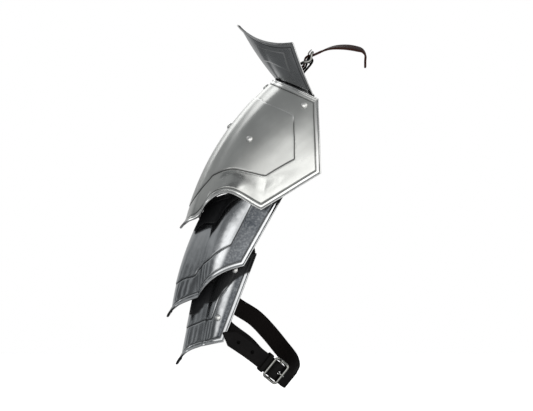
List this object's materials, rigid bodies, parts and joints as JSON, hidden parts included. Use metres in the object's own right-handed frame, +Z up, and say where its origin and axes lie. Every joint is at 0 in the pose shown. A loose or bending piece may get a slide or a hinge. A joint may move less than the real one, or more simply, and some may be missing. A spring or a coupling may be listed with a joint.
{
  "type": "pauldron",
  "caption": "Steel shoulder guard with a standing neck guard, a fluted scalloped plate and lames on inner leathers down the upper arm, closed by a buckled arm strap.",
  "frame": {"origin": "the seat on the wearer's shoulder, 12 mm under the shoulder plate's ridge near its top edge", "axes": "+Z up, +X from the arm to the neck, -Y the wearer's front; the plates are symmetric about the XZ plane"},
  "size_m": [0.2185, 0.1632, 0.3967],
  "materials": {
    "plate_steel": "satin polished plate, blackened inside",
    "rivet_steel": "bright domed heads",
    "buckle_steel": "nickel-bright wire",
    "black_leather": "black dyed, brown flesh side and cut edges",
    "brown_leather": "dark brown, waxed"
  },
  "bodies": {
    "root": {"shoulder_plate": "plate_steel", "neck_guard": "plate_steel", "upper_lame": "plate_steel", "lower_lame": "plate_steel", "inner_leather_front": "black_leather", "guard_rivet_front": "rivet_steel", "plate_rivet_front": "rivet_steel", "upper_lame_rivet_front": "rivet_steel", "lower_lame_rivet_front": "rivet_steel", "inner_leather_ridge": "black_leather", "guard_rivet_ridge": "rivet_steel", "plate_rivet_ridge": "rivet_steel", "upper_lame_rivet_ridge": "rivet_steel", "lower_lame_rivet_ridge": "rivet_steel", "inner_leather_back": "black_leather", "guard_rivet_back": "rivet_steel", "plate_rivet_back": "rivet_steel", "upper_lame_rivet_back": "rivet_steel", "lower_lame_rivet_back": "rivet_steel", "strap_rivet_front": "rivet_steel", "strap_rivet_back": "rivet_steel", "arm_chape": "black_leather", "arm_billet": "black_leather", "arm_buckle": "buckle_steel", "arm_buckle_prong": "buckle_steel", "arm_keeper": "black_leather", "shoulder_chape": "black_leather", "shoulder_strap": "brown_leather", "shoulder_buckle": "buckle_steel", "shoulder_buckle_prong": "buckle_steel"}
  },
  "joints": []
}
